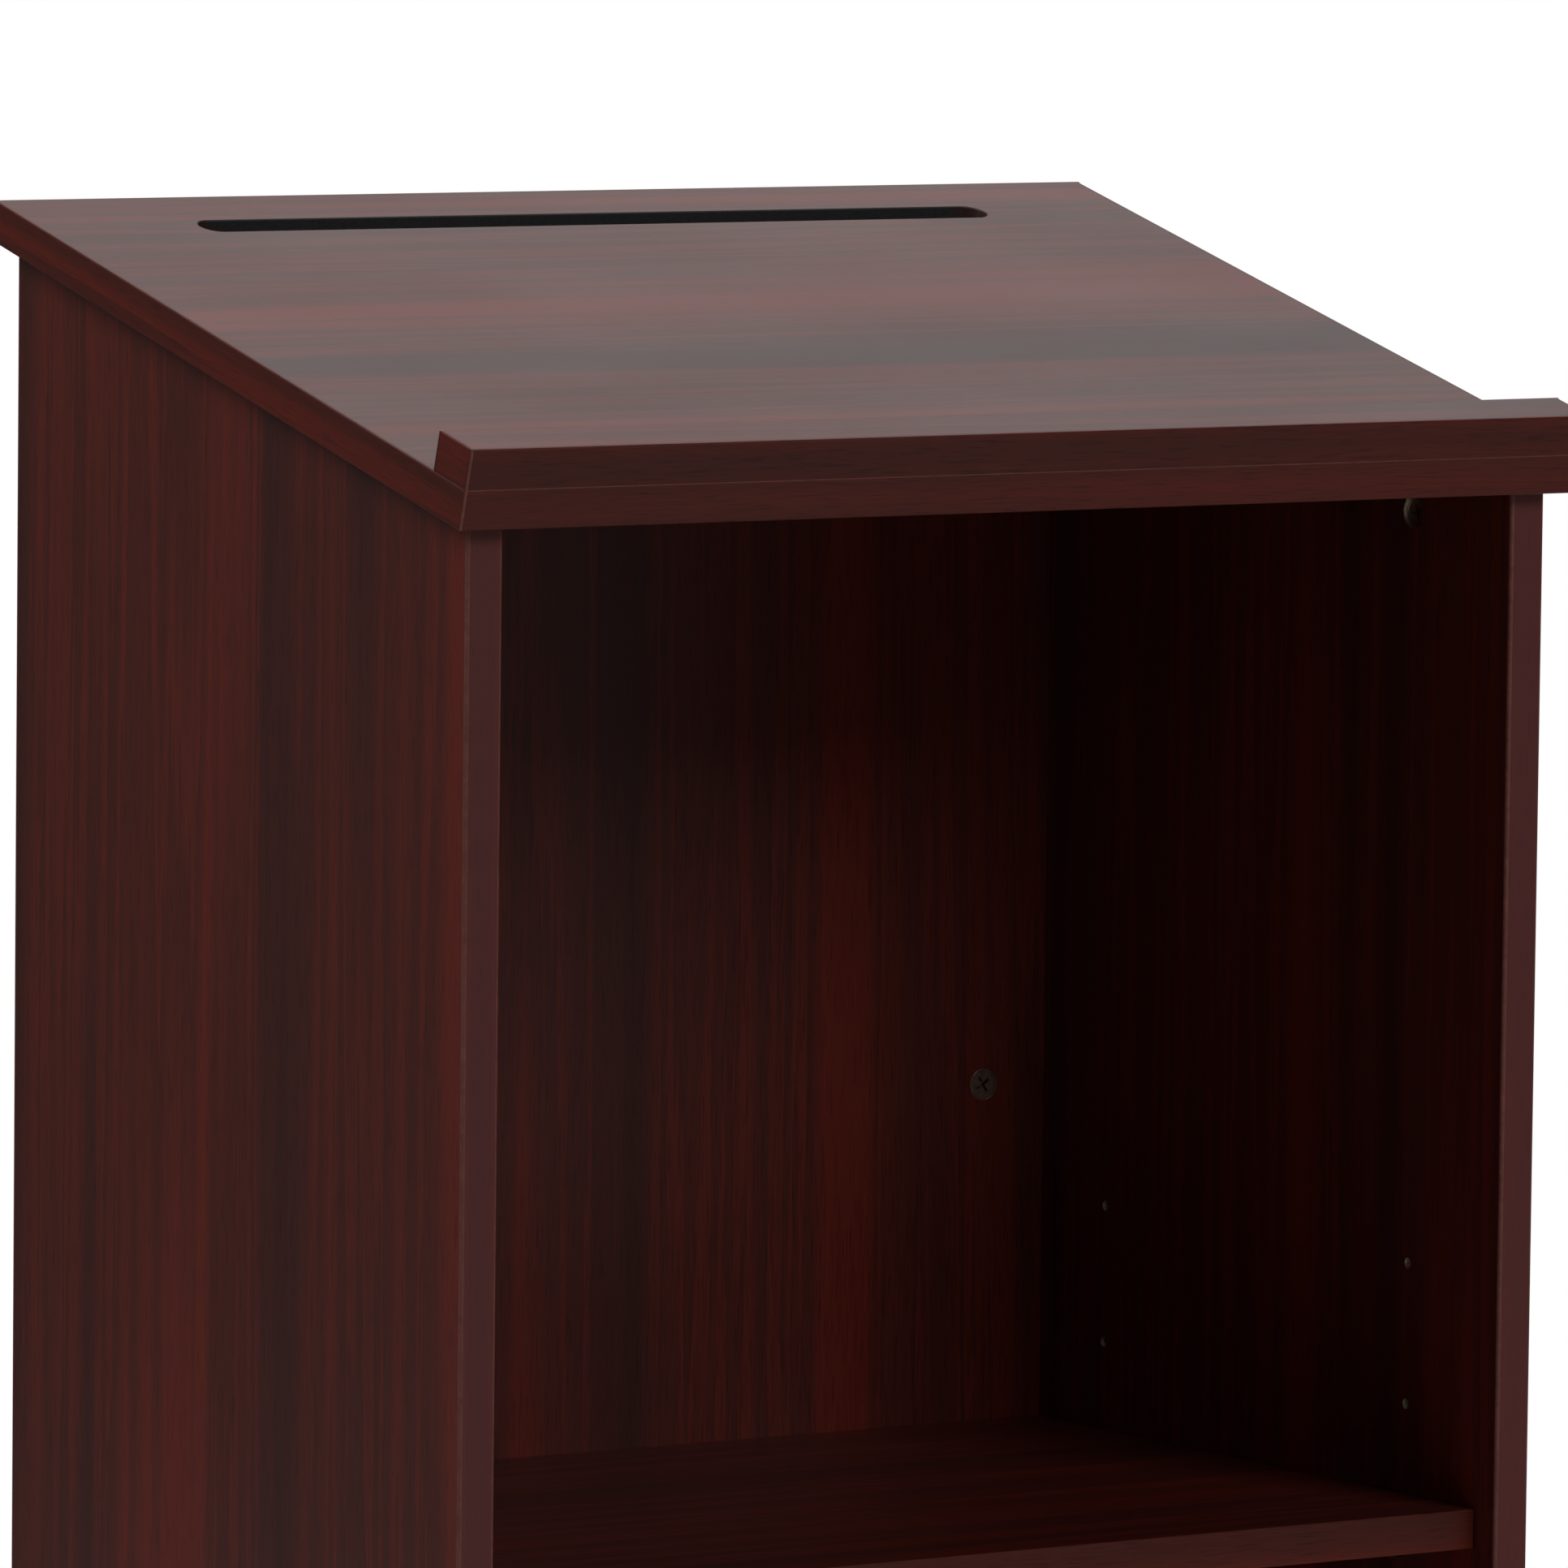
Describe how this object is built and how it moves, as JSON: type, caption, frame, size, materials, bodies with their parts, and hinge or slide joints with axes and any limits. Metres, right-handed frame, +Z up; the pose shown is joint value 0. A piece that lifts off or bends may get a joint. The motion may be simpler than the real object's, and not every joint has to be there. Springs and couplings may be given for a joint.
{
  "type": "stand-up lectern",
  "caption": "Stand-up lectern of mahogany-woodgrain board: sloping reading top with book ledge and pen groove, open back with adjustable shelf on pins, fixed bottom shelf and kick board.",
  "frame": {"origin": "on the floor, under the middle of the bounding box", "axes": "+X is the right hand of the speaker who faces the audience, +Y points to the audience, +Z is up"},
  "size_m": [0.586, 0.4062, 1.1682],
  "materials": {
    "mahogany_laminate": "dark reddish mahogany woodgrain melamine, satin",
    "edge_band": "1 mm woodgrain edge banding, satin, a little redder and lighter than the faces",
    "cam_zinc": "dull die-cast zinc",
    "plated_steel": "zinc plated",
    "beech_dowel": "bare beech",
    "nickel_pin": "nickel plated",
    "glide_plastic": "moulded, dark brown"
  },
  "bodies": {
    "cabinet": {"audience_panel": "mahogany_laminate", "book_ledge": "mahogany_laminate", "bottom_cam_bolts": "plated_steel", "bottom_dowels": "beech_dowel", "bottom_shelf": "mahogany_laminate", "bottom_shelf_band": "edge_band", "floor_glides": "glide_plastic", "glide_nails": "plated_steel", "kick_board": "mahogany_laminate", "kick_cam_bolts": "plated_steel", "kick_dowels": "beech_dowel", "ledge_front_band": "edge_band", "ledge_left_band": "edge_band", "ledge_rear_band": "edge_band", "ledge_right_band": "edge_band", "ledge_screws": "plated_steel", "left_side_front_band": "edge_band", "left_side_panel": "mahogany_laminate", "left_side_rear_band": "edge_band", "panel_cam_bolts": "plated_steel", "panel_dowels": "beech_dowel", "reading_top": "mahogany_laminate", "right_side_front_band": "edge_band", "right_side_panel": "mahogany_laminate", "right_side_rear_band": "edge_band", "top_cam_bolts": "plated_steel", "top_dowels": "beech_dowel", "top_front_band": "edge_band", "top_left_band": "edge_band", "top_rear_band": "edge_band", "top_right_band": "edge_band"},
    "adjustable_shelf": {"adjustable_shelf": "mahogany_laminate", "shelf_front_band": "edge_band"},
    "shelf_pin_left_front": {"shelf_pin_left_front": "nickel_pin"},
    "shelf_pin_left_rear": {"shelf_pin_left_rear": "nickel_pin"},
    "shelf_pin_right_front": {"shelf_pin_right_front": "nickel_pin"},
    "shelf_pin_right_rear": {"shelf_pin_right_rear": "nickel_pin"},
    "top_cam_left_1": {"top_cam_left_1": "cam_zinc"},
    "top_cam_left_2": {"top_cam_left_2": "cam_zinc"},
    "panel_cam_left_1": {"panel_cam_left_1": "cam_zinc"},
    "panel_cam_left_2": {"panel_cam_left_2": "cam_zinc"},
    "panel_cam_left_3": {"panel_cam_left_3": "cam_zinc"},
    "bottom_cam_left_1": {"bottom_cam_left_1": "cam_zinc"},
    "bottom_cam_left_2": {"bottom_cam_left_2": "cam_zinc"},
    "kick_cam_left_1": {"kick_cam_left_1": "cam_zinc"},
    "top_cam_right_1": {"top_cam_right_1": "cam_zinc"},
    "top_cam_right_2": {"top_cam_right_2": "cam_zinc"},
    "panel_cam_right_1": {"panel_cam_right_1": "cam_zinc"},
    "panel_cam_right_2": {"panel_cam_right_2": "cam_zinc"},
    "panel_cam_right_3": {"panel_cam_right_3": "cam_zinc"},
    "bottom_cam_right_1": {"bottom_cam_right_1": "cam_zinc"},
    "bottom_cam_right_2": {"bottom_cam_right_2": "cam_zinc"},
    "kick_cam_right_1": {"kick_cam_right_1": "cam_zinc"}
  },
  "joints": [
    {"name": "shelf_pull_out", "type": "slide", "parent": "cabinet", "child": "adjustable_shelf", "axis": [0, -1, 0], "range_m": [0, 0.345]},
    {"name": "pin_left_front_pull", "type": "slide", "parent": "cabinet", "child": "shelf_pin_left_front", "axis": [1, 0, 0], "range_m": [0, 0.012]},
    {"name": "pin_left_rear_pull", "type": "slide", "parent": "cabinet", "child": "shelf_pin_left_rear", "axis": [1, 0, 0], "range_m": [0, 0.012]},
    {"name": "pin_right_front_pull", "type": "slide", "parent": "cabinet", "child": "shelf_pin_right_front", "axis": [-1, 0, 0], "range_m": [0, 0.012]},
    {"name": "pin_right_rear_pull", "type": "slide", "parent": "cabinet", "child": "shelf_pin_right_rear", "axis": [-1, 0, 0], "range_m": [0, 0.012]},
    {"name": "top_cam_left_1_turn", "type": "hinge", "parent": "cabinet", "child": "top_cam_left_1", "pos_m": [-0.275, -0.1095, 1.03318], "axis": [1, 0, 0], "range_deg": [0, 180]},
    {"name": "top_cam_left_2_turn", "type": "hinge", "parent": "cabinet", "child": "top_cam_left_2", "pos_m": [-0.275, 0.12447, 1.095], "axis": [1, 0, 0], "range_deg": [0, 180]},
    {"name": "panel_cam_left_1_turn", "type": "hinge", "parent": "cabinet", "child": "panel_cam_left_1", "pos_m": [-0.2305, 0.18492, 0.1714], "axis": [0, -1, 0], "range_deg": [0, 180]},
    {"name": "panel_cam_left_2_turn", "type": "hinge", "parent": "cabinet", "child": "panel_cam_left_2", "pos_m": [-0.2305, 0.18492, 0.4594], "axis": [0, -1, 0], "range_deg": [0, 180]},
    {"name": "panel_cam_left_3_turn", "type": "hinge", "parent": "cabinet", "child": "panel_cam_left_3", "pos_m": [-0.2305, 0.18492, 0.7474], "axis": [0, -1, 0], "range_deg": [0, 180]},
    {"name": "bottom_cam_left_1_turn", "type": "hinge", "parent": "cabinet", "child": "bottom_cam_left_1", "pos_m": [-0.2305, -0.11408, 0.089], "axis": [0, 0, -1], "range_deg": [0, 180]},
    {"name": "bottom_cam_left_2_turn", "type": "hinge", "parent": "cabinet", "child": "bottom_cam_left_2", "pos_m": [-0.2305, 0.12392, 0.089], "axis": [0, 0, -1], "range_deg": [0, 180]},
    {"name": "kick_cam_left_1_turn", "type": "hinge", "parent": "cabinet", "child": "kick_cam_left_1", "pos_m": [-0.2305, -0.13408, 0.0525], "axis": [0, 1, 0], "range_deg": [0, 180]},
    {"name": "top_cam_right_1_turn", "type": "hinge", "parent": "cabinet", "child": "top_cam_right_1", "pos_m": [0.275, -0.1095, 1.03318], "axis": [-1, 0, 0], "range_deg": [0, 180]},
    {"name": "top_cam_right_2_turn", "type": "hinge", "parent": "cabinet", "child": "top_cam_right_2", "pos_m": [0.275, 0.12447, 1.095], "axis": [-1, 0, 0], "range_deg": [0, 180]},
    {"name": "panel_cam_right_1_turn", "type": "hinge", "parent": "cabinet", "child": "panel_cam_right_1", "pos_m": [0.2305, 0.18492, 0.1714], "axis": [0, -1, 0], "range_deg": [0, 180]},
    {"name": "panel_cam_right_2_turn", "type": "hinge", "parent": "cabinet", "child": "panel_cam_right_2", "pos_m": [0.2305, 0.18492, 0.4594], "axis": [0, -1, 0], "range_deg": [0, 180]},
    {"name": "panel_cam_right_3_turn", "type": "hinge", "parent": "cabinet", "child": "panel_cam_right_3", "pos_m": [0.2305, 0.18492, 0.7474], "axis": [0, -1, 0], "range_deg": [0, 180]},
    {"name": "bottom_cam_right_1_turn", "type": "hinge", "parent": "cabinet", "child": "bottom_cam_right_1", "pos_m": [0.2305, -0.11408, 0.089], "axis": [0, 0, -1], "range_deg": [0, 180]},
    {"name": "bottom_cam_right_2_turn", "type": "hinge", "parent": "cabinet", "child": "bottom_cam_right_2", "pos_m": [0.2305, 0.12392, 0.089], "axis": [0, 0, -1], "range_deg": [0, 180]},
    {"name": "kick_cam_right_1_turn", "type": "hinge", "parent": "cabinet", "child": "kick_cam_right_1", "pos_m": [0.2305, -0.13408, 0.0525], "axis": [0, 1, 0], "range_deg": [0, 180]}
  ]
}
